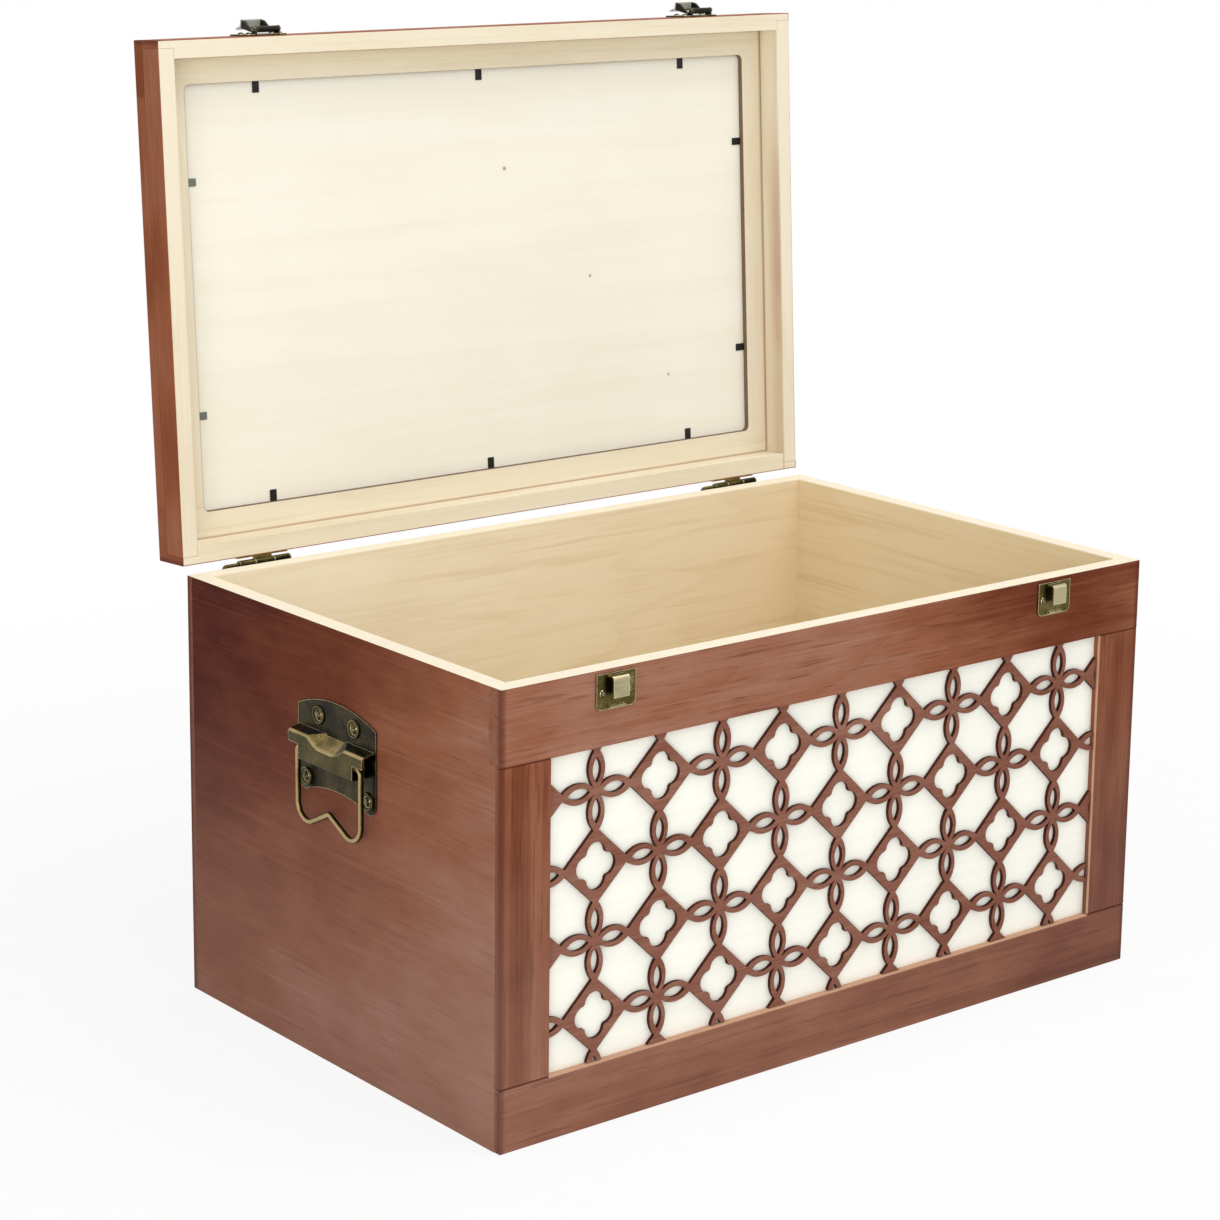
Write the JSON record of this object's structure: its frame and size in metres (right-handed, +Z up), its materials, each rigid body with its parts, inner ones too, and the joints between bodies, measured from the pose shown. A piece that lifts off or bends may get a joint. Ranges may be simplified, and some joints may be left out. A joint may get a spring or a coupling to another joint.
{
  "type": "storage trunk",
  "caption": "Stained wooden storage trunk with a pierced lattice front over a white panel, a hinged tray lid standing open, swing latches and chest handles.",
  "frame": {"origin": "centre of the trunk's underside, in the plane it stands on", "axes": "+X to the right along the lattice front, +Y towards the hinged back, +Z up"},
  "size_m": [0.581, 0.4199, 0.664],
  "materials": {
    "stained_wood": "mahogany stain, satin",
    "natural_wood": "bare, matte",
    "white_panel": "painted off-white, matte",
    "antique_brass": "antiqued, worn bright on edges",
    "black_steel": "blackened, satin"
  },
  "bodies": {
    "trunk": {"left_end_panel": "stained_wood", "right_end_panel": "stained_wood", "back_panel": "stained_wood", "front_top_rail": "stained_wood", "front_bottom_rail": "stained_wood", "front_left_stile": "stained_wood", "front_right_stile": "stained_wood", "front_lattice": "stained_wood", "floor_panel": "natural_wood", "front_lining_board": "natural_wood", "front_white_panel": "white_panel", "left_hinge_body_leaf": "antique_brass", "left_hinge_pin": "antique_brass", "left_catch": "antique_brass", "left_handle_plate": "antique_brass", "left_handle_screws": "antique_brass", "right_hinge_body_leaf": "antique_brass", "right_hinge_pin": "antique_brass", "right_catch": "antique_brass", "right_handle_plate": "antique_brass", "right_handle_screws": "antique_brass", "hinge_body_screws": "antique_brass", "catch_screws": "antique_brass"},
    "lid": {"lid_front_rail": "stained_wood", "lid_back_rail": "stained_wood", "lid_left_rail": "stained_wood", "lid_right_rail": "stained_wood", "lid_top_front": "stained_wood", "lid_top_back": "stained_wood", "lid_top_left": "stained_wood", "lid_top_right": "stained_wood", "lid_lattice": "stained_wood", "lid_backing_board": "natural_wood", "lid_white_panel": "white_panel", "left_hinge_lid_leaf": "antique_brass", "left_latch_base": "antique_brass", "left_latch_pin": "antique_brass", "right_hinge_lid_leaf": "antique_brass", "right_latch_base": "antique_brass", "right_latch_pin": "antique_brass", "hinge_lid_screws": "antique_brass", "latch_screws": "antique_brass", "framers_points": "black_steel"},
    "left_bail": {"left_handle_bail": "antique_brass"},
    "right_bail": {"right_handle_bail": "antique_brass"},
    "left_hook": {"left_latch_hook": "antique_brass"},
    "right_hook": {"right_latch_hook": "antique_brass"}
  },
  "joints": [
    {"name": "lid_hinge", "type": "hinge", "parent": "trunk", "child": "lid", "pos_m": [0, 0.1819, 0.296], "axis": [1, 0, 0], "range_deg": [0, 93.4]},
    {"name": "left_bail_swing", "type": "hinge", "parent": "trunk", "child": "left_bail", "pos_m": [-0.287, -0.0037, 0.213], "axis": [0, 1, 0], "range_deg": [0, 95]},
    {"name": "right_bail_swing", "type": "hinge", "parent": "trunk", "child": "right_bail", "pos_m": [0.287, -0.0037, 0.213], "axis": [0, -1, 0], "range_deg": [0, 95]},
    {"name": "left_hook_swing", "type": "hinge", "parent": "lid", "child": "left_hook", "pos_m": [-0.193, 0.20545, 0.65874], "axis": [1, 0, 0], "range_deg": [0, 168]},
    {"name": "right_hook_swing", "type": "hinge", "parent": "lid", "child": "right_hook", "pos_m": [0.193, 0.20545, 0.65874], "axis": [1, 0, 0], "range_deg": [0, 168]}
  ]
}
